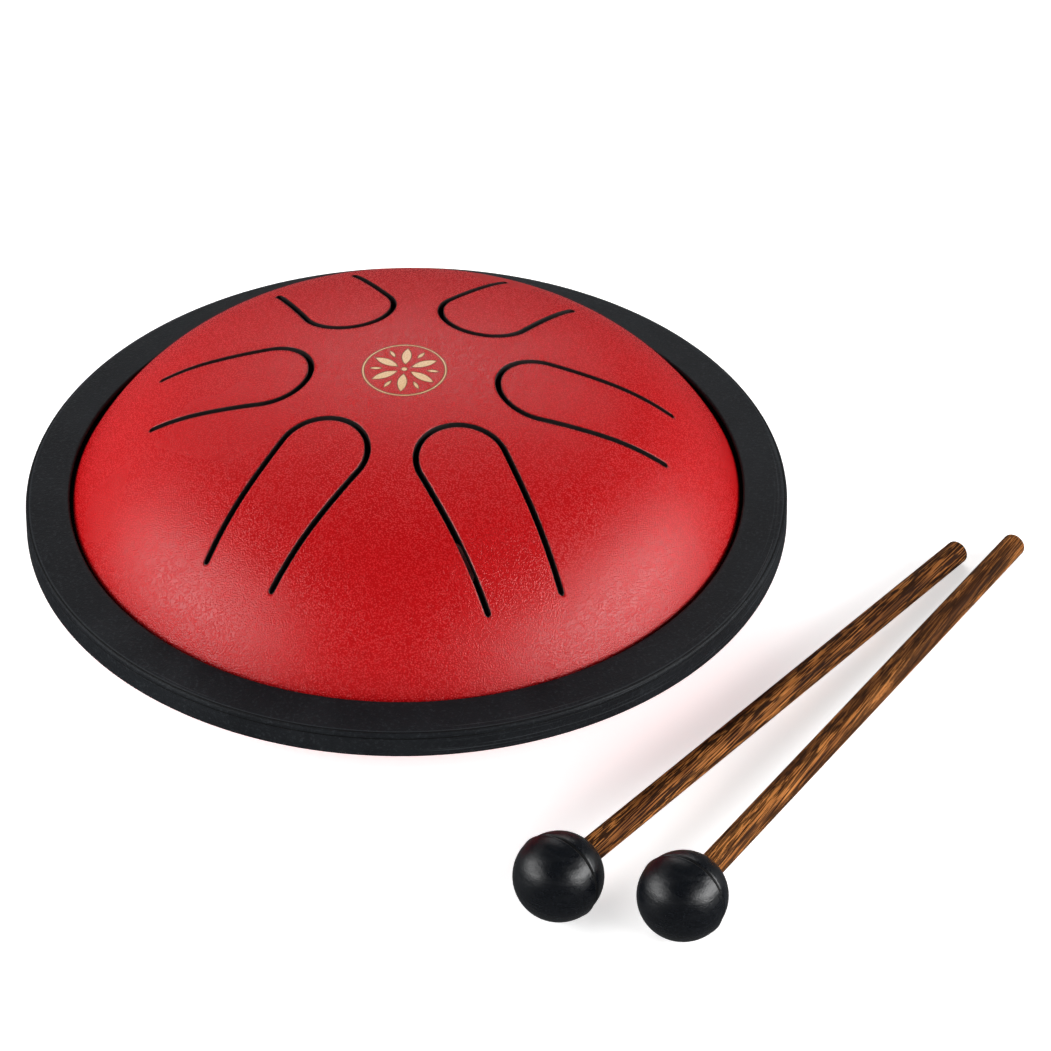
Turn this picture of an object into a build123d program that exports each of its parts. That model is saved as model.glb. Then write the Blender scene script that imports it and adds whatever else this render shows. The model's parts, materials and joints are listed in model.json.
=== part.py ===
from build123d import *
import math
import os

# Small steel tongue drum with a rubber edge ring, push-in feet and two rubber-headed mallets.
# Millimetres. +Z is up and -Y is the player's side, where the two longest tongues point.
# The origin is on the drum's axis, level with the surface that the feet stand on.

# ---- Shells ----
top_thickness = 1.5  # pressed steel of the playing shell
bottom_thickness = 1.2  # pressed steel of the base shell
dome_height = 38.6  # apex above the upper face of the top flange
crown_radius = 137.4  # large arc over the middle of the dome
crown_half_angle = 20.5  # degrees of that arc, out to the shoulder
bottom_depth = 20.3  # underside of the base below the lower face of the bottom flange
bottom_flat_radius = 45.0  # flat disc of the base, where the feet stand
shell_root_radius = 80.4  # where both shells turn out into their flanges
root_fillet = 1.2  # outer radius of that turn
flange_width = 5.6  # flat part of the flange
sound_hole_radius = 16.0

# ---- Tongues, laser-cut straight down through the dome ----
tongue_inner_radius = 22.0  # distance of every tongue's free end from the drum's axis
tongue_half_width = 10.7  # to the middle of the slot, at the round free end
tongue_narrowing = 0.042  # half width lost per millimetre towards the root
slot_width = 1.3
first_tongue_azimuth = -6.6  # degrees from +X
# Uncut steel in plan between each tongue's root and the shell's root, anticlockwise from the first.
# A longer tongue, with a smaller margin, is a lower note.
tongue_margins = [17.9, 25.6, 27.9, 21.2, 14.7, 12.7]

# ---- Rubber edge ring, a U-channel stretched over both flanges ----
groove_clearance = 0.2  # between the flange's edge and the bottom of the groove
ring_wall = 3.8  # rubber outside the groove
ring_edge_half_height = 3.35  # at the outer edge, from the middle of the flanges
ring_lip_half_height = 5.0  # at the lips, which are the thickest part
lip_lean = 1.4  # how far the lip's tip leans in over the root fillet
lip_root_clearance = 0.8  # from the end of the root fillet to where the lip grips
ring_edge_fillet = 0.9
lip_tip_fillet = 0.6

# ---- Push-in rubber feet ----
foot_count = 4
foot_pad_radius = 7.0
foot_margin = 4.0  # flat left outside each pad
foot_height = 5.0
foot_taper = 0.6  # radius lost from the top of the pad to its base
foot_edge_fillet = 0.8
foot_dimple_radius = 2.5
foot_dimple_depth = 1.0
foot_neck_radius = 2.5
foot_barb_overhang = 1.3  # how much wider the barb is than the neck
foot_barb_height = 3.2
foot_barb_land = 0.6  # straight part of the barb, next to the shell
foot_barb_tip_radius = 1.9

# ---- Mallets ----
head_radius = 10.7  # front half of the moulded ball
head_step = 0.35  # back half is this much smaller, which leaves a parting step
head_step_fillet = 0.12
stick_head_radius = 3.1  # at the ball's centre
stick_butt_radius = 2.85
stick_reach = 160.6  # ball centre to the end of the stick
stick_insert = 4.0  # how far the stick goes past the ball's centre
stick_end_fillet = 0.8
# Where each mallet lies: gap in plan from the drum's edge to the stick's centre line, how far the
# ball lies before the point nearest the drum, and the stick's direction in degrees from +X.
mallet_places = {
    "mallet_left": (8.6, 72.4, 52.0),
    "mallet_right": (27.9, 74.3, 58.2),
}

# ---- Sizes that follow; heights are above the surface the feet stand on ----
base_z = foot_height  # underside of the bottom shell
bottom_flange_z = base_z + bottom_depth  # lower face of the bottom shell's flange
top_flange_z = bottom_flange_z + bottom_thickness + top_thickness  # upper face of the top one
flange_mid_z = (bottom_flange_z + top_flange_z) / 2
flange_radius = shell_root_radius + flange_width
groove_radius = flange_radius + groove_clearance
drum_radius = groove_radius + ring_wall
foot_circle_radius = bottom_flat_radius - foot_margin - foot_pad_radius


def unit(vector):
    return vector / vector.length


def arc_about(centre, radius, start, end):
    """Arc of the given centre and radius, from direction start to direction end, the short way."""
    middle = unit(start + end)
    return ThreePointArc(centre + radius * start, centre + radius * middle, centre + radius * end)


def dish(height, shoulder_start, shoulder_normal, crown, thickness):
    """A pressed dish with an out-turned flange, rising along +Z from its flange's outer face at Z = 0.

    crown is the radius of the arc from the axis to shoulder_start, or None for a flat centre.
    """
    up = Vector(0, 1)
    out = Vector(1, 0)
    root_centre = Vector(shell_root_radius, root_fillet)
    # The shoulder arc leaves the crown smoothly and meets the root fillet smoothly.
    reach = shoulder_start - root_centre
    shoulder = (reach.length**2 - root_fillet**2) / (2 * (reach.dot(shoulder_normal) + root_fillet))
    shoulder_centre = shoulder_start - shoulder * shoulder_normal
    root_normal = unit(root_centre - shoulder_centre)

    def side(depth):
        """The lines of one face of the sheet, depth below the outer face, from the axis outwards."""
        lines = []
        shoulder_edge = shoulder_centre + (shoulder - depth) * shoulder_normal
        if crown is None:
            lines.append(Line(up * (height - depth), shoulder_edge))
        else:
            crown_centre = up * (height - crown)
            lines.append(arc_about(crown_centre, crown - depth, up, shoulder_normal))
        lines.append(arc_about(shoulder_centre, shoulder - depth, shoulder_normal, root_normal))
        lines.append(arc_about(root_centre, root_fillet + depth, -root_normal, -up))
        lines.append(Line(out * shell_root_radius - up * depth, out * flange_radius - up * depth))
        return lines

    ends = [
        Line(out * flange_radius, out * flange_radius - up * thickness),
        Line(up * (height - thickness), up * height),
    ]
    section = make_face(Wire(side(0.0) + side(thickness) + ends))
    return revolve(Plane.XZ * section, Axis.Z)


def tongue_outline(root_radius, offset):
    """A tongue's outline in plan along +X, moved outwards from its cut line by offset."""
    tip_radius = tongue_half_width + offset
    tip_centre_x = tongue_inner_radius + tongue_half_width
    root_half_width = tongue_half_width - tongue_narrowing * (root_radius - tip_centre_x) + offset
    points = [
        (tip_centre_x, tip_radius),
        (root_radius, root_half_width),
        (root_radius, -root_half_width),
        (tip_centre_x, -tip_radius),
    ]
    edges = [
        *[Line(a, b) for a, b in zip(points, points[1:])],
        ThreePointArc(points[3], (tip_centre_x - tip_radius, 0), points[0]),
    ]
    return make_face(Wire(edges))


def tongue_slot(root_radius):
    """The U-shaped cut round one tongue, in plan along +X, with round ends at the root."""
    half = slot_width / 2
    last = root_radius - half
    cut = tongue_outline(last, half) - tongue_outline(last, -half)
    tip_centre_x = tongue_inner_radius + tongue_half_width
    end_y = tongue_half_width - tongue_narrowing * (last - tip_centre_x)
    for side in (-1, 1):
        cut += Pos(last, side * end_y) * Circle(half)
    return cut


def top_shell():
    angle = math.radians(crown_half_angle)
    normal = Vector(math.sin(angle), math.cos(angle))
    start = Vector(0, dome_height - crown_radius) + crown_radius * normal
    shell = Pos(0, 0, top_flange_z) * dish(dome_height, start, normal, crown_radius, top_thickness)
    pitch = 360 / len(tongue_margins)
    for number, margin in enumerate(tongue_margins):
        slot = Rot(0, 0, first_tongue_azimuth + number * pitch) * tongue_slot(shell_root_radius - margin)
        shell -= extrude(Pos(0, 0, top_flange_z) * slot, dome_height + top_thickness)
    return shell


def foot_places():
    """Where each foot's axis meets the underside of the bottom shell, anticlockwise from +X +Y."""
    return [
        Rot(0, 0, (k + 0.5) * 360 / foot_count) * Pos(foot_circle_radius, 0, base_z)
        for k in range(foot_count)
    ]


def bottom_shell():
    start = Vector(bottom_flat_radius, bottom_depth)
    cup = dish(bottom_depth, start, Vector(0, 1), None, bottom_thickness)
    shell = Pos(0, 0, bottom_flange_z) * Rot(180, 0, 0) * cup
    through = 4 * bottom_thickness
    shell -= Pos(0, 0, base_z) * Cylinder(sound_hole_radius, through)
    for place in foot_places():
        shell -= place * Cylinder(foot_neck_radius, through)
    return shell


def rim_ring():
    groove_half = (top_thickness + bottom_thickness) / 2
    lip_radius = shell_root_radius - lip_lean
    upper = [
        (groove_radius, groove_half),
        (shell_root_radius + lip_root_clearance, groove_half),
        (lip_radius, ring_lip_half_height),
        (drum_radius, ring_edge_half_height),
    ]
    lower = [(radius, -height) for radius, height in reversed(upper)]
    section = make_face(Polyline(*upper, *lower, close=True))
    for corner_radius, size in ((drum_radius, ring_edge_fillet), (lip_radius, lip_tip_fillet)):
        corners = [v for v in section.vertices() if abs(v.X - corner_radius) < 0.001]
        section = fillet(corners, size)
    return Pos(0, 0, flange_mid_z) * revolve(Plane.XZ * section, Axis.Z)


def rubber_foot():
    """One foot about Z: pad below Z = 0, neck through the shell, barb inside."""
    barb_radius = foot_neck_radius + foot_barb_overhang
    barb_z = bottom_thickness
    outline = [
        (0, -foot_height + foot_dimple_depth),
        (foot_dimple_radius, -foot_height + foot_dimple_depth),
        (foot_dimple_radius, -foot_height),
        (foot_pad_radius - foot_taper, -foot_height),
        (foot_pad_radius, 0),
        (foot_neck_radius, 0),
        (foot_neck_radius, barb_z),
        (barb_radius, barb_z),
        (barb_radius, barb_z + foot_barb_land),
        (foot_barb_tip_radius, barb_z + foot_barb_height),
        (0, barb_z + foot_barb_height),
    ]
    section = make_face(Polyline(*outline, close=True))
    base_edge = section.vertices().sort_by_distance((foot_pad_radius - foot_taper, -foot_height))[0]
    section = fillet([base_edge], foot_edge_fillet)
    return revolve(Plane.XZ * section, Axis.Z)


def stick_radius(along):
    """Radius of the tapered stick at a distance from the ball's centre."""
    return stick_head_radius + (stick_butt_radius - stick_head_radius) * along / stick_reach


def mallet_stick():
    """The stick about Z, with the ball's centre at the origin."""
    points = [
        (0, -stick_insert),
        (stick_radius(-stick_insert), -stick_insert),
        (stick_radius(stick_reach), stick_reach),
        (0, stick_reach),
    ]
    section = make_face(Polyline(*points, close=True))
    end_corner = section.vertices().sort_by_distance(points[2])[0]
    section = fillet([end_corner], stick_end_fillet)
    return revolve(Plane.XZ * section, Axis.Z)


def mallet_head():
    """The moulded ball about Z: larger front half below Z = 0, smaller back half round the stick."""
    back_radius = head_radius - head_step
    up = Vector(0, 1)
    out = Vector(1, 0)
    outline = [
        arc_about(Vector(0, 0), head_radius, -up, out),
        Line(out * head_radius, out * back_radius),
        arc_about(Vector(0, 0), back_radius, out, up),
        Line(up * back_radius, -up * head_radius),
    ]
    section = make_face(Wire(outline))
    parting_edge = section.vertices().sort_by_distance((head_radius, 0))[0]
    section = fillet([parting_edge], head_step_fillet)
    return revolve(Plane.XZ * section, Axis.Z) - mallet_stick()


def mallet_location(gap, run_in, heading):
    """The mallet's own frame where it lies on the table, resting on its ball and the end of its stick."""
    end_radius = stick_radius(stick_reach - stick_end_fillet)
    tilt = math.atan((head_radius - end_radius) / (stick_reach - stick_end_fillet))
    centre = Pos(-run_in, -drum_radius - gap, head_radius * math.cos(tilt))
    # The mallet is drawn along +Z: a quarter turn about Y lays it along +X, and the tilt drops its end.
    return Rot(0, 0, heading) * centre * Rot(0, 90 + math.degrees(tilt), 0)


def all_parts():
    parts = {
        "top_shell": top_shell(),
        "bottom_shell": bottom_shell(),
        "rim_ring": rim_ring(),
    }
    sides = ["back_right", "back_left", "front_left", "front_right"]
    for side, place in zip(sides, foot_places()):
        parts["foot_" + side] = place * rubber_foot()
    for name, place in mallet_places.items():
        lying = mallet_location(*place)
        parts[name + "_head"] = lying * mallet_head()
        parts[name + "_stick"] = lying * mallet_stick()
    return parts


os.makedirs("parts", exist_ok=True)
for name, shape in all_parts().items():
    export_step(shape, f"parts/{name}.step")
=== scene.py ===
import json
import math

import bpy
from mathutils import Euler, Matrix, Vector

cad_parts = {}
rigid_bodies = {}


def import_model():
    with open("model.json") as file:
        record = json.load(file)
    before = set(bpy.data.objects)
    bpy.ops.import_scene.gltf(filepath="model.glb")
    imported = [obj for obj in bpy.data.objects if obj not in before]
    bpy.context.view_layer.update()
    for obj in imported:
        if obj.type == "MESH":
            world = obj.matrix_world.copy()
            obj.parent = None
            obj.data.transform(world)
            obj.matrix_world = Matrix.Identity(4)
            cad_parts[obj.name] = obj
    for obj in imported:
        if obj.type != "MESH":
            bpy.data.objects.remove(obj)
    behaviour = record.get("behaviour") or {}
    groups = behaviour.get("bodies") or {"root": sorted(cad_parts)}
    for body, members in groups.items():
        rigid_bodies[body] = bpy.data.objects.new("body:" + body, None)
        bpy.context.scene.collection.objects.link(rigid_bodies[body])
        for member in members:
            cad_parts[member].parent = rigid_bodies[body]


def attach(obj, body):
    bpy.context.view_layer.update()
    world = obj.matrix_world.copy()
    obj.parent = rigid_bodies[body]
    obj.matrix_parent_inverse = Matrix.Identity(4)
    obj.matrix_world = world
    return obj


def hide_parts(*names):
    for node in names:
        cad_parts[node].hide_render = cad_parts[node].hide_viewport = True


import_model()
for stray in [o for o in bpy.data.objects if o.name in ("Cube", "Light", "Camera")]:
    bpy.data.objects.remove(stray)
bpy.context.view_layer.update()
mm = 0.001
print("frame loaded")


# one socket of a node tree, so that maths reads as maths
class Wire:
    def __init__(self, graph, socket):
        self.graph = graph
        self.socket = socket

    def calc(self, operation, *values):
        return self.graph.add("ShaderNodeMath", {"operation": operation}, [self, *values])

    def flipped(self, operation, first):
        return self.graph.add("ShaderNodeMath", {"operation": operation}, [first, self])

    def other(self, name):
        return Wire(self.graph, self.socket.node.outputs[name])

    def __add__(self, value):
        return self.calc("ADD", value)

    def __sub__(self, value):
        return self.calc("SUBTRACT", value)

    def __mul__(self, value):
        return self.calc("MULTIPLY", value)

    def __truediv__(self, value):
        return self.calc("DIVIDE", value)

    def __rsub__(self, value):
        return self.flipped("SUBTRACT", value)

    def __rtruediv__(self, value):
        return self.flipped("DIVIDE", value)

    def __abs__(self):
        return self.calc("ABSOLUTE")

    def __lt__(self, value):
        return self.calc("LESS_THAN", value)

    def __gt__(self, value):
        return self.calc("GREATER_THAN", value)

    __radd__ = __add__
    __rmul__ = __mul__


class Graph:
    def __init__(self, tree):
        self.tree = tree

    # settings are set before the sockets, because some of them choose which sockets a node has
    def add(self, kind, settings=None, inputs=(), output=0):
        node = self.tree.nodes.new(kind)
        for name, value in (settings or {}).items():
            setattr(node, name, value)
        for key, value in inputs.items() if isinstance(inputs, dict) else enumerate(inputs):
            if isinstance(value, Wire):
                self.tree.links.new(value.socket, node.inputs[key])
            elif value is not None:
                node.inputs[key].default_value = value
        return Wire(self, node.outputs[output]) if len(node.outputs) else None

    def mix(self, factor, first, second):
        first, second = ((*c, 1.0) if isinstance(c, tuple) else c for c in (first, second))
        return self.add("ShaderNodeMix", {"data_type": "RGBA"}, {0: factor, 6: first, 7: second}, 2)

    def vectors(self, operation, *values):
        return self.add("ShaderNodeVectorMath", {"operation": operation}, values)

    def parts(self, vector):
        return self.add("ShaderNodeSeparateXYZ", None, [vector])

    def smooth(self, value, low, high, start=0.0, end=1.0):
        return self.add("ShaderNodeMapRange", {"interpolation_type": "SMOOTHSTEP"},
                        [value, low, high, start, end])

    def noise(self, vector, scale, detail=2.0, roughness=0.5, distortion=0.0):
        return self.add("ShaderNodeTexNoise", None, {
            "Vector": vector, "Scale": scale, "Detail": detail, "Roughness": roughness,
            "Distortion": distortion})


class Coat(Graph):
    # a material with its Principled shader; strengths that are the same all over go straight on it
    def __init__(self, name, fixed):
        self.material = bpy.data.materials.new(name)
        self.material.use_nodes = True
        super().__init__(self.material.node_tree)
        self.tree.nodes.clear()
        self.shader = self.tree.nodes.new("ShaderNodeBsdfPrincipled")
        self.add("ShaderNodeOutputMaterial", None, [Wire(self, self.shader.outputs[0])])
        for key, value in fixed.items():
            self.shader.inputs[key].default_value = value
        self.place = self.add("ShaderNodeTexCoord", None, (), "Object")

    def feed(self, **wires):
        names = {"colour": "Base Color", "roughness": "Roughness", "normal": "Normal",
                 "glow": "Emission Color"}
        for key, wire in wires.items():
            self.tree.links.new(wire.socket, self.shader.inputs[names[key]])

    def bump(self, height, depth, strength=1.0, under=None):
        return self.add("ShaderNodeBump", None, {
            "Strength": strength, "Distance": depth, "Height": height, "Normal": under})


class Shape(Graph):
    # a Geometry Nodes tree with named inputs
    def __init__(self, name, inputs):
        super().__init__(bpy.data.node_groups.new(name, "GeometryNodeTree"))
        face = self.tree.interface
        face.new_socket("Geometry", in_out="INPUT", socket_type="NodeSocketGeometry")
        for key, kind in inputs.items():
            face.new_socket(key, in_out="INPUT", socket_type="NodeSocket" + kind)
        face.new_socket("Geometry", in_out="OUTPUT", socket_type="NodeSocketGeometry")
        self.entry = self.tree.nodes.new("NodeGroupInput")

    def given(self, name):
        return Wire(self, self.entry.outputs[name])

    def finish(self, geometry):
        self.add("NodeGroupOutput", None, [geometry])


def polylineMesh(name, points):
    mesh = bpy.data.meshes.new(name)
    mesh.from_pydata(points, [(i, i + 1) for i in range(len(points) - 1)], [])
    return mesh


def grow(name, mesh, shape, values):
    # runs a tree on a mesh and keeps the plain result
    piece = bpy.data.objects.new(name, mesh)
    bpy.context.scene.collection.objects.link(piece)
    modifier = piece.modifiers.new("grow", "NODES")
    modifier.node_group = shape.tree
    for item in shape.tree.interface.items_tree:
        if item.in_out == "INPUT" and item.name in values:
            modifier[item.identifier] = values[item.name]
    piece.update_tag()
    bpy.context.view_layer.update()
    ready = piece.evaluated_get(bpy.context.evaluated_depsgraph_get())
    result = bpy.data.meshes.new_from_object(ready)
    piece.modifiers.clear()
    piece.data = result
    result.name = name
    print(f"{name}: {len(result.polygons)} faces")
    return piece


def arc(centre, radius, start, end, step):
    # points along an arc in the (radius, height) half plane, angles in degrees from +radius
    count = max(2, math.ceil(abs(math.radians(end - start)) * radius / step))
    turns = [math.radians(start + (end - start) * i / count) for i in range(count + 1)]
    return [(centre[0] + radius * math.cos(t), centre[1] + radius * math.sin(t)) for t in turns]


def joined(*runs):
    # runs of points end to end, without doubles
    line = []
    for run in runs:
        line += [p for p in run if not line or math.dist(p, line[-1]) > 1e-4]
    return line


def evenly(start, end, step):
    count = max(1, math.ceil(math.dist(start, end) / step))
    return [tuple(a + (b - a) * i / count for a, b in zip(start, end)) for i in range(count + 1)]


def rounded(corners, radii, step, close=False):
    # straight runs through the corners, each corner rounded by its radius
    line = []
    last = len(corners) - 1
    for i, (corner, radius) in enumerate(zip(corners, radii)):
        if radius == 0 or (not close and i in (0, last)):
            line.append([corner])
            continue
        here = Vector(corner)
        before = (Vector(corners[i - 1]) - here).normalized()
        after = (Vector(corners[(i + 1) % len(corners)]) - here).normalized()
        half = before.angle(after) / 2
        middle = here + (before + after).normalized() * (radius / math.sin(half))
        reach = radius / math.tan(half)
        first, second = here + before * reach - middle, here + after * reach - middle
        begin = math.degrees(math.atan2(first.y, first.x))
        sweep = math.degrees(math.atan2(second.y, second.x)) - begin
        sweep = (sweep + 180) % 360 - 180
        line.append(arc(middle, radius, begin, begin + sweep, step))
    if close:
        line.append([line[0][0]])
    runs = [line[0]]
    for run in line[1:]:
        runs.append(evenly(runs[-1][-1], run[0], step * 4))
        runs.append(run)
    return joined(*runs)


# a profile in (radius, 0, height) turned once round the Z axis
def turn(shape, profile, segments):
    count = shape.add("GeometryNodeAttributeDomainSize", {"component": "MESH"}, [profile])
    grid = shape.add("GeometryNodeMeshGrid", None, {
        "Size X": count - 1, "Size Y": segments * 1.0, "Vertices X": count, "Vertices Y": segments + 1})
    spot = shape.parts(shape.add("GeometryNodeInputPosition"))
    step = spot + (count - 1) * 0.5
    whole = shape.add("FunctionNodeFloatToInt", {"rounding_mode": "ROUND"}, [step])
    angle = (spot.other("Y") / segments + 0.5) * math.tau
    source = shape.add("GeometryNodeSampleIndex", {"data_type": "FLOAT_VECTOR", "domain": "POINT"}, {
        "Geometry": profile, "Value": shape.add("GeometryNodeInputPosition"), "Index": whole})
    line = shape.parts(source)
    turned = shape.add("ShaderNodeCombineXYZ", None, [
        line * angle.calc("COSINE"), line * angle.calc("SINE"), line.other("Z")])
    moved = shape.add("GeometryNodeSetPosition", None, {"Geometry": grid, "Position": turned})
    return shape.add("GeometryNodeMergeByDistance", None, {"Geometry": moved, "Distance": 1e-6})


def creased(shape, mesh, angle):
    # smooth faces, but sharp where two of them meet at more than the angle
    smooth = shape.add("GeometryNodeSetShadeSmooth", {"domain": "FACE"}, {"Geometry": mesh})
    bend = shape.add("GeometryNodeInputMeshEdgeAngle")
    return shape.add("GeometryNodeSetShadeSmooth", {"domain": "EDGE"}, {
        "Geometry": smooth, "Shade Smooth": bend < angle})


def turnedTree():
    shape = Shape("turnedPiece", {
        "Segments": "Int", "Crease": "Float", "Finish": "Material", "Inner Finish": "Material"})
    body = turn(shape, shape.given("Geometry"), shape.given("Segments"))
    body = creased(shape, body, shape.given("Crease"))
    body = shape.add("GeometryNodeRealizeInstances", None, [body])
    body = shape.add("GeometryNodeSetMaterial", None, {
        "Geometry": body, "Material": shape.given("Finish")})
    # only the base shell has faces that look up and in: its inside
    facing = shape.parts(shape.add("GeometryNodeInputNormal"))
    shape.finish(shape.add("GeometryNodeSetMaterial", None, {
        "Geometry": body, "Selection": facing.other("Z") > 0.1, "Material": shape.given("Inner Finish")}))
    return shape


def profileMesh(name, line):
    return polylineMesh(name, [(r * mm, 0, z * mm) for r, z in line])


def place(piece, matrix):
    piece.data.transform(matrix)
    piece.data.update()


dome = {
    "topThickness": 1.5, "flangeFace": 28.0, "height": 38.6, "crownRadius": 137.4, "crownAngle": 20.5,
    "rootRadius": 80.4, "rootFillet": 1.2, "flangeWidth": 5.6, "segments": 420, "step": 1.3, "crease": 0.6,
    "tipRadius": 22.0, "tongueHalfWidth": 10.7, "narrowing": 0.042, "slotWidth": 1.3,
    "cutHeight": 60.0, "cutMiddle": 0.8, "slotSteps": 50, "slotEndSides": 24,
    "firstTongue": -6.6, "tongueMargins": [17.9, 25.6, 27.9, 21.2, 14.7, 12.7],
    "red": (0.55, 0.0055, 0.0080), "redDeep": (0.41, 0.0030, 0.0046), "redPale": (0.66, 0.018, 0.020),
    "grain": 2400.0, "grainDepth": 0.00011, "grainTurn": (0.7, 0.5, 0.4),
    "roughness": 0.25, "peelScale": 260.0, "cloudScale": 22.0,
    "slotEdgeHighlight": (0.55, 0.05, 0.045), "burntAndSlotShade": (0.003, 0.002, 0.002), "slotEdgeDepth": 0.00025,
    "gapShadeRadius": 78.75, "gapShadeColour": (0.004, 0.003, 0.003),
    "ornamentTurn": 23.4, "petalMiddle": 5.1, "petalHalfLength": 3.3, "petalHalfWidth": 1.15,
    "leafHalfLength": 1.5, "leafHalfWidth": 0.5, "leafMiddle": 6.7, "hubRadius": 0.75,
    "ringRadius": 9.7, "ringHalfWidth": 0.28,
    "brass": (0.60, 0.36, 0.17), "brassPale": (0.72, 0.47, 0.25), "brassEdge": (0.10, 0.05, 0.025),
}


def tongueCut(coat, flat, sizes):
    # distance in millimetres from the middle of the nearest slot, measured in plan
    pitch = math.radians(60)
    tip = sizes["tipRadius"] + sizes["tongueHalfWidth"]
    half = sizes["tongueHalfWidth"]
    nearest = None
    for number, margin in enumerate(sizes["tongueMargins"]):
        turned = coat.add("ShaderNodeVectorRotate", {"rotation_type": "Z_AXIS"}, {
            "Vector": flat, "Angle": -(math.radians(sizes["firstTongue"]) + number * pitch)})
        along = coat.parts(turned)
        side = abs(along.other("Y"))
        root = sizes["rootRadius"] - margin - sizes["slotWidth"] / 2
        past = along - tip
        leg = past.calc("MAXIMUM", 0.0).calc("MINIMUM", root - tip)
        legSide = half - leg * sizes["narrowing"]
        legGap = ((past - leg) * (past - leg) + (side - legSide) * (side - legSide)).calc("SQRT")
        arcGap = abs((past * past + side * side).calc("SQRT") - half)
        before = past < 0.0
        gap = before * arcGap + (1 - before) * legGap
        nearest = gap if nearest is None else nearest.calc("MINIMUM", gap)
    return nearest


def ornament(coat, flat, sizes):
    # signed distance to a plain six-petal rosette in a ring, negative inside, in millimetres
    turned = coat.add("ShaderNodeVectorRotate", {"rotation_type": "Z_AXIS"}, {
        "Vector": flat, "Angle": -math.radians(sizes["ornamentTurn"])})
    spot = coat.parts(turned)
    away = (spot * spot + spot.other("Y") * spot.other("Y")).calc("SQRT")
    angle = spot.other("Y").calc("ARCTAN2", spot)
    sector = math.radians(60)

    def folded(shift):
        turnedBy = angle + shift
        local = turnedBy - (turnedBy / sector).calc("ROUND") * sector
        return away * local.calc("COSINE"), abs(away * local.calc("SINE"))

    def lens(shift, middle, halfLength, halfWidth):
        x, y = folded(shift)
        radius = (halfLength**2 + halfWidth**2) / (2 * halfWidth)
        x, y = x - middle, y + (radius - halfWidth)
        return (x * x + y * y).calc("SQRT") - radius

    petal = lens(0.0, sizes["petalMiddle"], sizes["petalHalfLength"], sizes["petalHalfWidth"])
    leaf = lens(sector / 2, sizes["leafMiddle"], sizes["leafHalfLength"], sizes["leafHalfWidth"])
    ring = abs(away - sizes["ringRadius"]) - sizes["ringHalfWidth"]
    hub = away - sizes["hubRadius"]
    return petal.calc("MINIMUM", leaf).calc("MINIMUM", ring).calc("MINIMUM", hub)


def redCoat(name, cutAndMarked):
    # the powder coat; only the dome has slots and a mark
    coat = Coat(name, {"Specular IOR Level": 0.38})
    flat = coat.vectors("MULTIPLY", coat.place, (1000, 1000, 0))
    # turned off the axes, so that the grain's cells never line up with the crown
    askew = coat.add("ShaderNodeVectorRotate", {"rotation_type": "EULER_XYZ"}, {
        "Vector": coat.place, "Rotation": dome["grainTurn"]})
    pebble, speck = (
        coat.add("ShaderNodeTexVoronoi", {"voronoi_dimensions": "3D", "feature": "F1"}, {
            "Vector": askew, "Scale": scale, "Randomness": 1.0})
        for scale in (dome["grain"], dome["grain"] * 1.3))
    grain = coat.smooth(pebble, 0.14, 0.62, 1.0, 0.0)
    pores = 1 - speck
    peel = coat.noise(coat.place, dome["peelScale"], 1.0)
    cloud = coat.noise(coat.place, dome["cloudScale"], 2.0)
    tone = coat.smooth(grain, 0.15, 0.60)
    red = coat.mix(tone, dome["redDeep"], dome["red"])
    red = coat.mix(coat.smooth(pores, 0.62, 0.80, 0.0, 0.35), red, dome["redPale"])
    red = coat.mix(coat.smooth(cloud, 0.35, 0.70, 0.0, 0.12), red, dome["redDeep"])
    # painted shade, near black, where the ring's lip grips the coat: it stands in for the shadow in the gap
    # there
    away = coat.add("ShaderNodeVectorMath", {"operation": "LENGTH"}, [flat], "Value")
    rubMarksAndGapShade = coat.smooth(away, dome["gapShadeRadius"] - 0.25, dome["gapShadeRadius"] + 0.1)
    red = coat.mix(rubMarksAndGapShade, red, dome["gapShadeColour"])
    wave = grain * 0.5 + pores * 0.45 + peel * 0.4
    roughness = dome["roughness"] + tone * 0.06 + coat.smooth(cloud, 0.3, 0.7) * 0.03
    if not cutAndMarked:
        coat.feed(colour=red, roughness=roughness, normal=coat.bump(wave, dome["grainDepth"]))
        return coat.material
    cut = tongueCut(coat, flat, dome)
    mark = ornament(coat, flat, dome)
    # a painted highlight runs pale along the cut edges, and the cut itself is painted black: burnt steel at
    # the cut and painted shade down the slot
    red = coat.mix(coat.smooth(cut, 0.78, 1.05, 0.30, 0.0), red, dome["slotEdgeHighlight"])
    red = coat.mix(coat.smooth(cut, 0.75, 0.81, 1.0, 0.0), red, dome["burntAndSlotShade"])
    etched = coat.smooth(mark, -0.06, 0.04, 1.0, 0.0)
    outline = coat.smooth(abs(mark + 0.02), 0.05, 0.16, 0.75, 0.0)
    brass = coat.mix(coat.smooth(pores, 0.35, 0.65), dome["brass"], dome["brassPale"])
    colour = coat.mix(outline, coat.mix(etched, red, brass), dome["brassEdge"])
    normal = coat.bump(wave * (1 - etched * 0.8), dome["grainDepth"])
    edge = coat.smooth(cut, 0.70, 1.10) + coat.smooth(mark, -0.18, 0.05) * 0.35
    coat.feed(colour=colour, roughness=roughness - etched * 0.06,
              normal=coat.bump(edge, dome["slotEdgeDepth"], 1.0, normal))
    return coat.material


def innerSteelAndShade():
    # near black inside: burnt steel on the slot walls, painted shade on the inside faces of the shells
    coat = Coat("darkInnerSteel", {"Roughness": 0.6, "Specular IOR Level": 0.3})
    scale = coat.noise(coat.place, 240.0, 4.0, 0.6)
    colour = coat.mix(scale, (0.006, 0.005, 0.005), (0.022, 0.018, 0.017))
    coat.feed(colour=colour, roughness=0.5 + scale * 0.3,
              normal=coat.bump(coat.noise(coat.place, 1500.0, 2.0), 0.00003))
    return coat.material


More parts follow.
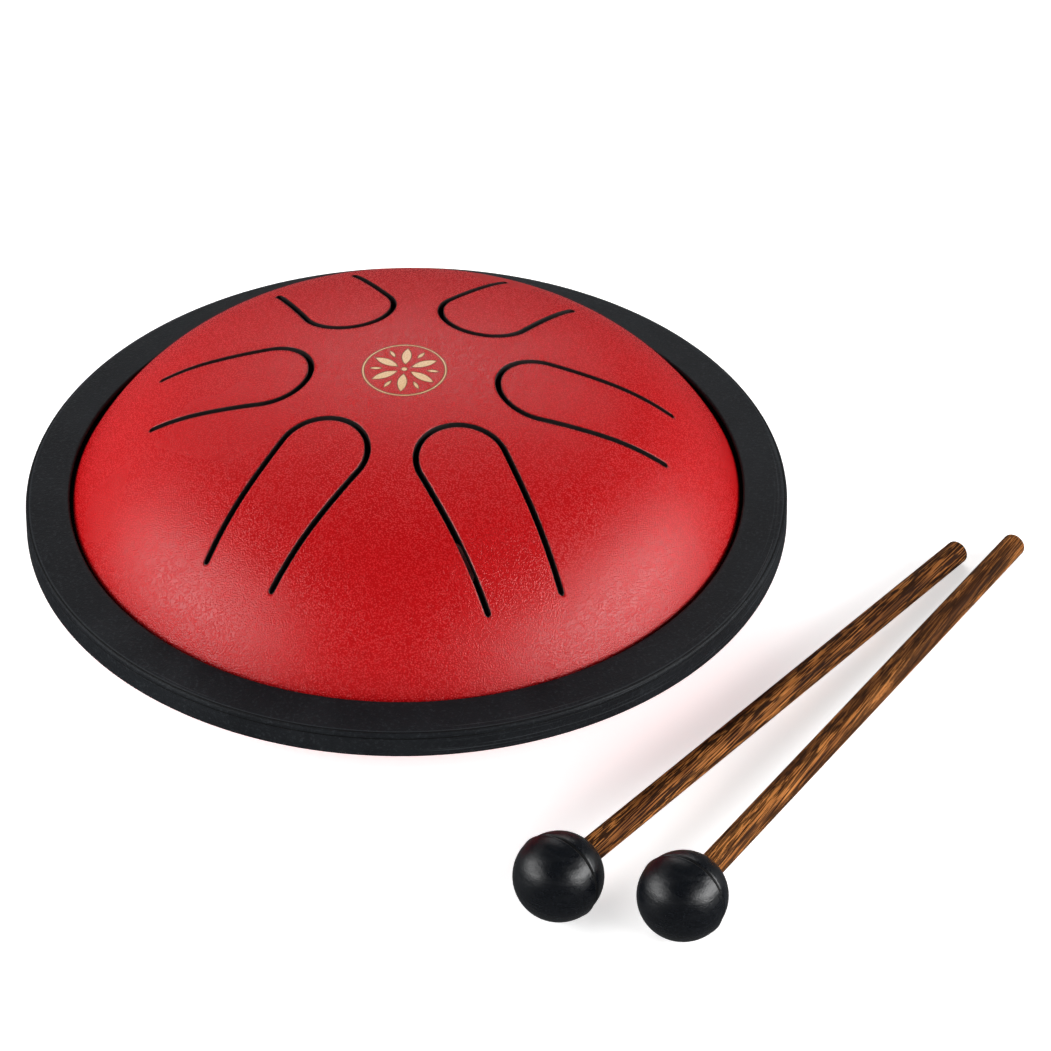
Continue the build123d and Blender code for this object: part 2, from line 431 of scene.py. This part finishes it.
def sheetProfile(sizes, thickness, start, startAngle, crown):
    # both faces of a pressed dish with its flange, in millimetres above the flange's outer face
    fillet = sizes["rootFillet"]
    root = Vector((sizes["rootRadius"], fillet))
    normal = Vector((math.sin(math.radians(startAngle)), math.cos(math.radians(startAngle))))
    reach = Vector(start) - root
    shoulder = (reach.length**2 - fillet**2) / (2 * (reach.dot(normal) + fillet))
    middle = Vector(start) - shoulder * normal
    toRoot = root - middle
    low = math.degrees(math.atan2(toRoot.y, toRoot.x))
    edge = sizes["rootRadius"] + sizes["flangeWidth"]
    step = sizes["step"]

    def face(depth):
        line = crown(depth)
        line += arc(middle, shoulder - depth, 90 - startAngle, low, step)
        line += arc(root, fillet + depth, low + 180, 270, step / 2)
        return joined(line, [(edge - 0.3, -depth)])

    lip = arc((edge - 0.3, -0.3), 0.3, 90, 0, 0.1) + arc((edge - 0.3, -thickness + 0.3), 0.3, 0, -90, 0.1)
    return joined(face(0.0), lip, face(thickness)[::-1])


def domeProfile():
    angle = math.radians(dome["crownAngle"])
    radius = dome["crownRadius"]
    centre = (0, dome["height"] - radius)
    start = (radius * math.sin(angle), centre[1] + radius * math.cos(angle))

    def crown(depth):
        return arc(centre, radius - depth, 90, 90 - dome["crownAngle"], dome["step"])

    line = sheetProfile(dome, dome["topThickness"], start, dome["crownAngle"], crown)
    line[0] = (0, line[0][1])
    line[-1] = (0, line[-1][1])
    return [(r, z + dome["flangeFace"]) for r, z in line]


def domeTree():
    rootNames = [f"Root Radius {k + 1}" for k in range(len(dome["tongueMargins"]))]
    shape = Shape("domeWithTongues", {
        "Segments": "Int", "Tip Radius": "Float", "Half Width": "Float", "Narrowing": "Float",
        "Slot Width": "Float", "First Tongue": "Float", "Cut Height": "Float", "Inner Height": "Float",
        **{name: "Float" for name in rootNames}, "Finish": "Material", "Inner Finish": "Material"})
    shell = turn(shape, shape.given("Geometry"), shape.given("Segments"))
    half, slot = shape.given("Half Width"), shape.given("Slot Width")
    tip = shape.given("Tip Radius") + half
    # six copies of the round end of a slot, numbered
    seeds = shape.add("GeometryNodeMeshLine", None, {
        "Count": len(dome["tongueMargins"]), "Offset": (0, 0, 0)})
    number = shape.add("GeometryNodeInputIndex")
    seeds = shape.add("GeometryNodeStoreNamedAttribute", {"data_type": "INT", "domain": "POINT"}, {
        "Geometry": seeds, "Name": "tongue", "Value": number})
    bend = shape.add("GeometryNodeCurveArc", {"mode": "RADIUS"}, {
        "Resolution": dome["slotSteps"], "Radius": half, "Start Angle": math.pi / 2, "Sweep Angle": math.pi})
    copies = shape.add("GeometryNodeInstanceOnPoints", None, {"Points": seeds, "Instance": bend})
    copies = shape.add("GeometryNodeRealizeInstances", None, [copies])
    tongue = shape.add("GeometryNodeInputNamedAttribute", {"data_type": "INT"}, {"Name": "tongue"})
    root = shape.given(rootNames[0])
    for k, name in enumerate(rootNames[1:], 1):
        isThis = shape.add("FunctionNodeCompare", {"data_type": "INT", "operation": "EQUAL"}, {
            2: tongue, 3: k})
        root = shape.add("GeometryNodeSwitch", {"input_type": "FLOAT"}, [isThis, root, shape.given(name)])
    # the legs run straight from the round end to the root
    leg = root - slot * 0.5 - tip
    spot = shape.parts(shape.add("GeometryNodeInputPosition"))
    legEnd = shape.add("ShaderNodeCombineXYZ", None, [
        leg, spot.other("Y").calc("SIGN") * (half - leg * shape.given("Narrowing")), 0.0])
    ends = shape.add("GeometryNodeCurveEndpointSelection", None, [1, 1])
    grown = shape.add("GeometryNodeSetPosition", None, {
        "Geometry": copies, "Selection": ends, "Position": legEnd})
    outward = shape.add("ShaderNodeVectorMath", {"operation": "ADD"}, [
        shape.add("GeometryNodeInputPosition"),
        shape.add("ShaderNodeCombineXYZ", None, [tip, 0.0, shape.given("Cut Height") * dome["cutMiddle"]])])
    spun = shape.add("ShaderNodeVectorRotate", {"rotation_type": "Z_AXIS"}, {
        "Vector": outward, "Angle": shape.given("First Tongue") + tongue * math.radians(60)})
    lines = shape.add("GeometryNodeSetPosition", None, {"Geometry": grown, "Position": spun})
    lines = shape.add("GeometryNodeSetCurveNormal", {"mode": "Z_UP"}, [lines])
    blade = shape.add("GeometryNodeCurvePrimitiveQuadrilateral", None, {
        "Width": slot, "Height": shape.given("Cut Height")})
    ribbons = shape.add("GeometryNodeCurveToMesh", None, {
        "Curve": lines, "Profile Curve": blade, "Fill Caps": True})
    pin = shape.add("GeometryNodeMeshCylinder", None, {
        "Vertices": dome["slotEndSides"], "Radius": slot * 0.5, "Depth": shape.given("Cut Height")})
    pins = shape.add("GeometryNodeInstanceOnPoints", None, {
        "Points": lines, "Selection": ends, "Instance": pin})
    pins = shape.add("GeometryNodeRealizeInstances", None, [pins])
    for cutter in (ribbons, pins):
        shell = shape.add("GeometryNodeMeshBoolean", {"operation": "DIFFERENCE", "solver": "MANIFOLD"}, {
            "Mesh 1": shell, "Mesh 2": cutter})
    shell = creased(shape, shell, dome["crease"])
    shell = shape.add("GeometryNodeRealizeInstances", None, [shell])
    shell = shape.add("GeometryNodeSetMaterial", None, {
        "Geometry": shell, "Material": shape.given("Finish")})
    # slot walls and the inside face down or sideways, well in from the flange
    facing = shape.parts(shape.add("GeometryNodeInputNormal"))
    spot = shape.parts(shape.add("GeometryNodeInputPosition"))
    inner = (facing.other("Z") < 0.15) * (spot.other("Z") > shape.given("Inner Height"))
    shape.finish(shape.add("GeometryNodeSetMaterial", None, {
        "Geometry": shell, "Selection": inner, "Material": shape.given("Inner Finish")}))
    return shape


def domeShell():
    tree = domeTree()
    roots = {f"Root Radius {k + 1}": (dome["rootRadius"] - margin) * mm
             for k, margin in enumerate(dome["tongueMargins"])}
    piece = grow("domeShell", profileMesh("domeProfile", domeProfile()), tree, {
        "Segments": dome["segments"], "Tip Radius": dome["tipRadius"] * mm,
        "Half Width": dome["tongueHalfWidth"] * mm, "Narrowing": dome["narrowing"],
        "Slot Width": dome["slotWidth"] * mm, "First Tongue": math.radians(dome["firstTongue"]),
        "Cut Height": dome["cutHeight"] * mm, "Inner Height": (dome["flangeFace"] + 1.0) * mm, **roots,
        "Finish": finishes["red"], "Inner Finish": finishes["inner"]})
    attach(piece, "drum")
    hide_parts("top_shell")


base = {
    "thickness": 1.2, "flangeFace": 25.3, "depth": 20.3, "flatRadius": 45.0, "holeRadius": 16.0,
    "rootRadius": 80.4, "rootFillet": 1.2, "flangeWidth": 5.6, "segments": 320, "step": 1.6,
    "holeFillet": 0.3, "crease": 0.6,
}


def baseShell():
    depth, hole, thick, soft = base["depth"], base["holeRadius"], base["thickness"], base["holeFillet"]

    def crown(inset):
        return evenly((hole + soft, depth - inset), (base["flatRadius"], depth - inset), 2.0)

    line = sheetProfile(base, thick, (base["flatRadius"], depth), 0, crown)
    line += arc((hole + soft, depth - thick + soft), soft, 270, 180, 0.1)
    line += arc((hole + soft, depth - soft), soft, 180, 90, 0.1)
    line = [(r, base["flangeFace"] - z) for r, z in joined(line)][::-1]
    piece = grow("baseShell", profileMesh("baseProfile", line), turned, {
        "Segments": base["segments"], "Crease": base["crease"], "Finish": finishes["baseRed"],
        "Inner Finish": finishes["inner"]})
    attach(piece, "drum")
    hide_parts("bottom_shell")


ring = {
    "middle": 26.65, "grooveHalf": 1.35, "grooveRadius": 86.2, "gripRadius": 81.2, "lipRadius": 79.0,
    "lipHalf": 5.0, "edgeRadius": 90.0, "edgeHalf": 3.35, "lipFillet": 0.6, "edgeFillet": 0.9,
    "partingHeight": 2.1, "shoulderRadius": 89.4, "segments": 400, "crease": 0.7,
    "black": (0.0058, 0.0068, 0.0086), "bloom": (0.0094, 0.0111, 0.0134), "dust": (0.026, 0.030, 0.034),
    "drag": (0.040, 0.045, 0.050), "crestHighlight": (0.034, 0.038, 0.043), "line": (0.0016, 0.0018, 0.0020),
    "fineScale": 2600.0, "bloomScale": 45.0, "dustScale": 1300.0, "patchScale": 16.0, "relief": 0.00006,
}


def ringRubber():
    coat = Coat("ringRubber", {"Specular IOR Level": 0.16})
    spot = coat.parts(coat.place)
    away = (spot * spot + spot.other("Y") * spot.other("Y")).calc("SQRT") * 1000
    height = spot.other("Z") * 1000 - ring["middle"]
    around = spot.other("Y").calc("ARCTAN2", spot)
    fine = coat.noise(coat.place, ring["fineScale"], 3.0, 0.6)
    bloom = coat.noise(coat.place, ring["bloomScale"], 4.0, 0.6, 0.6)
    dust = coat.noise(coat.place, ring["dustScale"], 2.0, 0.7)
    # drag marks left by the mould run along the outer edge, here and there
    track = coat.noise(coat.add("ShaderNodeCombineXYZ", None, [away, height, around * 0.8]), 2.2, 2.0, 0.6)
    patch = coat.smooth(coat.noise(coat.place, ring["patchScale"], 1.0), 0.48, 0.62)
    drag = coat.smooth(track, 0.56, 0.66) * patch * coat.smooth(away, 86.0, 88.5)
    parting = coat.smooth(abs(height - ring["partingHeight"]), 0.08, 0.22, 0.9, 0.0)
    shoulder = coat.smooth(abs(away - ring["shoulderRadius"]), 0.07, 0.20, 0.9, 0.0)
    # a pale line just inside the shoulder is a painted highlight along the edge
    crestHighlight = coat.smooth(abs(away - ring["shoulderRadius"] + 0.34), 0.05, 0.26, 1.0, 0.0)
    colour = coat.mix(coat.smooth(bloom, 0.35, 0.70), ring["black"], ring["bloom"])
    colour = coat.mix(coat.smooth(dust, 0.52, 0.72, 0.0, 0.55), colour, ring["dust"])
    colour = coat.mix(drag * 0.6, colour, ring["drag"])
    colour = coat.mix(crestHighlight * 0.5, colour, ring["crestHighlight"])
    # the parting line and the shoulder groove are painted near black: painted shade in the grooves
    colour = coat.mix(parting.calc("MAXIMUM", shoulder), colour, ring["line"])
    skin = coat.bump(fine + dust * 1.5, ring["relief"])
    coat.feed(colour=colour, roughness=0.48 + bloom * 0.12 - drag * 0.1,
              normal=coat.bump(drag - parting * 2 - shoulder * 2, ring["relief"], 1.0, skin))
    return coat.material


def edgeRing():
    upper = [(ring["grooveRadius"], ring["grooveHalf"]), (ring["gripRadius"], ring["grooveHalf"]),
             (ring["lipRadius"], ring["lipHalf"]), (ring["edgeRadius"], ring["edgeHalf"])]
    corners = upper + [(r, -z) for r, z in upper[::-1]]
    radii = [0, 0, ring["lipFillet"], ring["edgeFillet"]]
    line = rounded(corners, radii + radii[::-1], 0.25, close=True)
    line = [(r, z + ring["middle"]) for r, z in line]
    piece = grow("edgeRing", profileMesh("ringProfile", line), turned, {
        "Segments": ring["segments"], "Crease": ring["crease"], "Finish": finishes["ring"],
        "Inner Finish": finishes["ring"]})
    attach(piece, "drum")
    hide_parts("rim_ring")


foot = {
    "count": 4, "circle": 34.0, "height": 5.0, "padRadius": 7.0, "taper": 0.6, "edgeFillet": 0.8,
    "dimpleRadius": 2.5, "dimpleDepth": 1.0, "neckRadius": 2.5, "barbOverhang": 1.3, "barbHeight": 3.2,
    "barbLand": 0.6, "barbTip": 1.9, "shell": 1.2, "segments": 64, "crease": 0.7,
    "black": (0.011, 0.011, 0.012), "scuffed": (0.03, 0.03, 0.031),
    "fineScale": 1800.0, "scuffScale": 160.0, "relief": 0.00004,
}


def footRubber():
    coat = Coat("footRubber", {"Specular IOR Level": 0.35})
    fine = coat.noise(coat.place, foot["fineScale"], 3.0)
    scuff = coat.noise(coat.place, foot["scuffScale"], 4.0, 0.65)
    colour = coat.mix(coat.smooth(scuff, 0.45, 0.75), foot["black"], foot["scuffed"])
    coat.feed(colour=colour, roughness=0.6 + scuff * 0.15, normal=coat.bump(fine, foot["relief"], 0.7))
    return coat.material


def footTree():
    shape = Shape("footRing", {
        "Count": "Int", "Circle Radius": "Float", "Segments": "Int", "Finish": "Material"})
    one = turn(shape, shape.given("Geometry"), shape.given("Segments"))
    circle = shape.add("GeometryNodeMeshCircle", None, {
        "Vertices": shape.given("Count"), "Radius": shape.given("Circle Radius")})
    circle = shape.add("GeometryNodeTransform", None, {
        "Geometry": circle, "Rotation": (0, 0, math.radians(45))})
    feet = shape.add("GeometryNodeInstanceOnPoints", None, {"Points": circle, "Instance": one})
    feet = creased(shape, shape.add("GeometryNodeRealizeInstances", None, [feet]), foot["crease"])
    shape.finish(shape.add("GeometryNodeSetMaterial", None, {
        "Geometry": feet, "Material": shape.given("Finish")}))
    return shape


def rubberFeet():
    top, pad, neck = foot["height"], foot["padRadius"], foot["neckRadius"]
    barb = top + foot["shell"]
    corners = [
        (0, foot["dimpleDepth"]), (foot["dimpleRadius"], foot["dimpleDepth"]), (foot["dimpleRadius"], 0),
        (pad - foot["taper"], 0), (pad, top), (neck, top), (neck, barb), (neck + foot["barbOverhang"], barb),
        (neck + foot["barbOverhang"], barb + foot["barbLand"]), (foot["barbTip"], barb + foot["barbHeight"]),
        (0, barb + foot["barbHeight"])]
    radii = [0, 0.3, 0.3, foot["edgeFillet"], 0, 0, 0, 0, 0.3, 0.5, 0]
    line = rounded(corners, radii, 0.15)
    piece = grow("rubberFeet", profileMesh("footProfile", line), footTree(), {
        "Count": foot["count"], "Circle Radius": foot["circle"] * mm, "Segments": foot["segments"],
        "Finish": finishes["foot"]})
    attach(piece, "drum")
    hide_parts("foot_back_right", "foot_back_left", "foot_front_left", "foot_front_right")


mallets = {
    "left": {"gap": 8.6, "runIn": 72.4, "heading": 52.0, "seed": 3.1, "streak": 0.95, "streakScale": 3000.0,
             "band": 0.35, "bandScale": 330.0, "layer": 0.35, "layerScale": 160.0},
    "right": {"gap": 27.9, "runIn": 74.3, "heading": 58.2, "seed": 8.7, "streak": 0.75, "streakScale": 2600.0,
              "band": 0.55, "bandScale": 300.0, "layer": 0.8, "layerScale": 120.0},
}
mallet = {
    "drumRadius": 90.0, "headRadius": 10.7, "headStep": 0.35, "stickHead": 3.1, "stickButt": 2.85,
    "lipHeight": 0.09, "reach": 160.6, "insert": 4.0, "endFillet": 0.8,
    "segments": 160, "stickSegments": 96, "crease": 0.7,
    "black": (0.0013, 0.0018, 0.0030), "wiped": (0.0036, 0.0048, 0.0070), "fineDust": (0.010, 0.013, 0.018),
    "seam": (0.0004, 0.0004, 0.0005), "ballRelief": 0.00009,
    "fineScale": 2200.0, "wipeScale": 420.0, "wornScale": 95.0, "wipeStretch": (1.0, 0.22, 0.35),
    "brown": (0.235, 0.078, 0.018), "gold": (0.54, 0.205, 0.052), "layerBrown": (0.070, 0.024, 0.007),
    "streakBlack": (0.014, 0.006, 0.003), "poreBlack": (0.016, 0.007, 0.003),
    "bandBlack": (0.035, 0.013, 0.005), "woodRelief": 0.00006, "poreScale": 3400.0,
    # how far pores, streaks and growth layers are drawn out along the stick: less is longer
    "squeezes": (0.018, 0.028, 0.11), "lean": (0.035, 0.05),
}


def malletMatrix(side):
    lie = mallets[side]
    length = mallet["reach"] - mallet["endFillet"]
    endRadius = mallet["stickHead"] + (mallet["stickButt"] - mallet["stickHead"]) * length / mallet["reach"]
    tilt = math.atan((mallet["headRadius"] - endRadius) / length)
    spot = Vector((-lie["runIn"], -mallet["drumRadius"] - lie["gap"], mallet["headRadius"] * math.cos(tilt)))
    turnZ = Matrix.Rotation(math.radians(lie["heading"]), 4, "Z")
    return turnZ @ Matrix.Translation(spot * mm) @ Matrix.Rotation(math.pi / 2 + tilt, 4, "Y")


def headRubber(side):
    matrix = malletMatrix(side)
    coat = Coat(side + "MalletRubber", {"Specular IOR Level": 0.42})
    local = coat.add("ShaderNodeMapping", {"vector_type": "TEXTURE"}, {
        "Vector": coat.place, "Location": matrix.translation, "Rotation": tuple(matrix.to_euler())})
    fine = coat.noise(local, mallet["fineScale"], 3.0, 0.6)
    # rub marks lie mostly one way across the ball
    rubMarksAndGapShade = coat.vectors("MULTIPLY", local, mallet["wipeStretch"])
    wipe = coat.noise(rubMarksAndGapShade, mallet["wipeScale"], 4.0, 0.65, 0.8)
    worn = coat.noise(local, mallet["wornScale"], 2.0, 0.5)
    along = coat.parts(local).other("Z") * 1000
    # the seam groove is painted near black: painted shade in the groove
    seam = coat.smooth(abs(along - 0.35), 0.34, 0.56, 1.0, 0.0)
    colour = coat.mix(wipe, mallet["black"], mallet["wiped"])
    colour = coat.mix(coat.smooth(fine, 0.52, 0.70, 0.0, 0.5), colour, mallet["fineDust"])
    colour = coat.mix(seam * 0.9, colour, mallet["seam"])
    roughness = 0.23 + coat.smooth(wipe, 0.38, 0.62) * 0.12 + coat.smooth(worn, 0.35, 0.65) * 0.07
    coat.feed(colour=colour, roughness=roughness + seam * 0.4,
              normal=coat.bump(fine * 0.6 + wipe * 1.6, mallet["ballRelief"], 0.8))
    return coat.material


def malletHead(side):
    front = mallet["headRadius"] - mallet["lipHeight"]
    back = mallet["headRadius"] - mallet["headStep"]
    stickAt = mallet["stickHead"] + (mallet["stickButt"] - mallet["stickHead"]) * back / mallet["reach"]
    mouth = math.degrees(math.asin(stickAt / back))
    # the front half ends in a thin raised lip, then the seam falls to the smaller back half
    line = joined(
        arc((0, 0), front, -90, -5.0, 0.35), [(front, -0.62)],
        arc((front - 0.16, -0.36), 0.25, 0, 90, 0.08),
        [(back - 0.46, -0.10), (back - 0.56, 0.22), (back - 0.46, 0.60), (back - 0.12, 0.88)],
        arc((0, 0), back, 5.6, 90 - mouth - 0.6, 0.35),
        [(stickAt + 0.02, back * math.cos(math.radians(mouth)) - 0.1),
         (stickAt, -mallet["insert"]), (0, -mallet["insert"])])
    line[0] = (0, line[0][1])
    rubber = headRubber(side)
    piece = grow(f"malletHead.{side}", profileMesh("headProfile", line), turned, {
        "Segments": mallet["segments"], "Crease": mallet["crease"], "Finish": rubber,
        "Inner Finish": rubber})
    place(piece, malletMatrix(side))
    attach(piece, "mallet_" + side)
    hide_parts(f"mallet_{side}_head")


def stickWood(side):
    lie = mallets[side]
    matrix = malletMatrix(side)
    coat = Coat(side + "StickWood", {"Specular IOR Level": 0.05})
    local = coat.add("ShaderNodeMapping", {"vector_type": "TEXTURE"}, {
        "Vector": coat.place, "Location": matrix.translation, "Rotation": tuple(matrix.to_euler())})
    # the grain runs along the stick, a few degrees off its axis, so its pattern is stretched that way
    leaning = coat.add("ShaderNodeVectorRotate", {"rotation_type": "EULER_XYZ"}, {
        "Vector": local, "Rotation": (*mallet["lean"], lie["seed"])})
    drift = coat.vectors("ADD", leaning, (lie["seed"], 0, 0))
    fibre, vein, figure = (
        coat.vectors("MULTIPLY", drift, (1, 1, squeeze)) for squeeze in mallet["squeezes"])
    pore = coat.noise(fibre, mallet["poreScale"], 1.0, 0.6)
    streak = coat.noise(vein, lie["streakScale"], 1.5, 0.55, 0.3)
    band = coat.noise(figure, lie["bandScale"], 2.0, 0.5, 0.7)
    # growth layers show as nested arches where the round stick cuts them
    layer = coat.add("ShaderNodeTexWave", {
        "wave_type": "BANDS", "bands_direction": "X", "wave_profile": "SIN"}, {
        "Vector": figure, "Scale": lie["layerScale"], "Distortion": 3.2, "Detail": 2.0,
        "Detail Scale": 130.0, "Detail Roughness": 0.5}, 1)
    colour = coat.mix(coat.smooth(band, 0.30, 0.70), mallet["brown"], mallet["gold"])
    colour = coat.mix(coat.smooth(layer, 0.25, 0.75, 0.0, lie["layer"]), colour, mallet["layerBrown"])
    dark = coat.smooth(streak, 0.468, 0.505) * lie["streak"]
    colour = coat.mix(dark, colour, mallet["streakBlack"])
    colour = coat.mix(coat.smooth(pore, 0.54, 0.60, 0.0, 0.9), colour, mallet["poreBlack"])
    deep = coat.smooth(band, 0.28, 0.44, 1.0, 0.0) * lie["band"]
    colour = coat.mix(deep, colour, mallet["bandBlack"])
    normal = coat.bump(pore * -1.0 + streak * -0.6, mallet["woodRelief"], 0.8)
    coat.feed(colour=colour, roughness=0.52 + pore * 0.2, normal=normal)
    return coat.material


def malletStick(side):
    end, soft = mallet["reach"], mallet["endFillet"]
    corners = [(0, -mallet["insert"]), (mallet["stickHead"], -mallet["insert"]),
               (mallet["stickButt"], end), (0, end)]
    line = rounded(corners, [0, 0, soft, 0], 0.2)
    wood = stickWood(side)
    piece = grow(f"malletStick.{side}", profileMesh("stickProfile", line), turned, {
        "Segments": mallet["stickSegments"], "Crease": mallet["crease"], "Finish": wood,
        "Inner Finish": wood})
    place(piece, malletMatrix(side))
    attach(piece, "mallet_" + side)
    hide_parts(f"mallet_{side}_stick")


finishes = {
    "red": redCoat("redPowderCoat", True),
    "baseRed": redCoat("redPowderCoatBase", False),
    "inner": innerSteelAndShade(),
    "ring": ringRubber(),
    "foot": footRubber(),
}
print("finishes made")
turned = turnedTree()
domeShell()
baseShell()
edgeRing()
rubberFeet()
for side in mallets:
    malletHead(side)
    malletStick(side)
print("pieces made")


studio = {
    "worldLow": 0.11, "worldHigh": 0.04, "worldRise": (0.15, 0.75), "floorTones": (0.89, 0.91),
    "floorHalf": 6.0, "floorGlow": 0.62, "farGlow": 0.5, "glowStart": (0.040, 0.072), "farStart": (0.8, 1.4),
    # radiance is how bright each box looks, so its power follows from its size
    "softboxes": {
        "left": {"place": (-1.22, -0.22, 0.56), "size": (1.3, 0.60), "radiance": 6.5, "gloss": True},
        "right": {"place": (1.22, -0.32, 0.44), "size": (1.4, 0.50), "radiance": 9.5, "gloss": True},
        "back": {"place": (0.1, 1.6, 1.12), "size": (1.2, 0.60), "radiance": 3.0, "gloss": True},
        "front": {"place": (0.78, -0.97, 0.60), "size": (0.28, 0.34), "radiance": 8.0, "gloss": True},
        # these lift the colours without a veil of gloss
        "fill": {"place": (-0.5, 1.5, 1.3), "size": (1.8, 1.6), "radiance": 1.7, "gloss": False},
        "washLeft": {"place": (-1.25, -0.50, 0.27), "size": (0.8, 0.4), "radiance": 4.6, "gloss": False},
        "washBack": {"place": (-0.70, 1.20, 0.35), "size": (0.8, 0.4), "radiance": 5.0, "gloss": False},
    },
}


def studioFloor():
    mesh = bpy.data.meshes.new("floor")
    half = studio["floorHalf"]
    corners = [(-half, -half, 0), (half, -half, 0), (half, half, 0), (-half, half, 0)]
    mesh.from_pydata(corners, [], [(0, 1, 2, 3)])
    floor = bpy.data.objects.new("floor", mesh)
    bpy.context.scene.collection.objects.link(floor)
    coat = Coat("paleFloor", {"Roughness": 0.9, "Specular IOR Level": 0.0, "Emission Strength": 1.0})
    tone = coat.noise(coat.place, 3.0, 2.0)
    coat.feed(colour=coat.mix(tone, *((level, level, level) for level in studio["floorTones"])))
    # a white table that glows: painted light on top of the lamps' light; the glow is dimmed under the drum, a
    # painted shadow there, so that nothing shines up through its slots
    spot = coat.add("ShaderNodeVectorMath", {"operation": "LENGTH"}, [coat.place], "Value")
    near = coat.smooth(spot, *studio["glowStart"], 0.0, studio["floorGlow"])
    glow = near + coat.smooth(spot, *studio["farStart"], 0.0, studio["farGlow"])
    coat.feed(glow=coat.mix(glow, (0.0, 0.0, 0.0), (1.0, 1.0, 1.0)))
    mesh.materials.append(coat.material)
    floor.visible_glossy = False


def studioLights():
    for name, box in studio["softboxes"].items():
        light = bpy.data.lights.new(name, "AREA")
        light.shape = "RECTANGLE"
        light.size, light.size_y = box["size"]
        light.energy = box["radiance"] * math.pi * light.size * light.size_y
        lamp = bpy.data.objects.new(name, light)
        lamp.location = box["place"]
        lamp.rotation_euler = (-Vector(box["place"])).to_track_quat("-Z", "Y").to_euler()
        lamp.visible_camera = False
        lamp.visible_glossy = box["gloss"]
        bpy.context.scene.collection.objects.link(lamp)


def studioWorld():
    world = bpy.data.worlds.new("studio")
    world.use_nodes = True
    bpy.context.scene.world = world
    sky = Graph(world.node_tree)
    sky.tree.nodes.clear()
    up = sky.parts(sky.add("ShaderNodeTexCoord", None, (), "Generated"))
    level = sky.smooth(up.other("Z"), *studio["worldRise"], studio["worldLow"], studio["worldHigh"])
    light = sky.add("ShaderNodeBackground", None, {"Color": (1, 1, 1, 1), "Strength": level})
    sky.add("ShaderNodeOutputWorld", None, [light])


camera = {
    "place": (0, -1.5835, 1.2624), "turn": (51.875, 0.271, -1.229), "lens": 290.7, "sensor": 36,
    "clip": (0.1, 30),
}


def studioCamera():
    data = bpy.data.cameras.new("camera")
    data.lens = camera["lens"]
    data.sensor_width = camera["sensor"]
    data.clip_start, data.clip_end = camera["clip"]
    seen = bpy.data.objects.new("camera", data)
    seen.location = camera["place"]
    seen.rotation_euler = Euler([math.radians(a) for a in camera["turn"]])
    bpy.context.scene.collection.objects.link(seen)
    bpy.context.scene.camera = seen


studioFloor()
studioLights()
studioWorld()
studioCamera()
bpy.context.scene.view_settings.view_transform = "Standard"
print("studio ready")
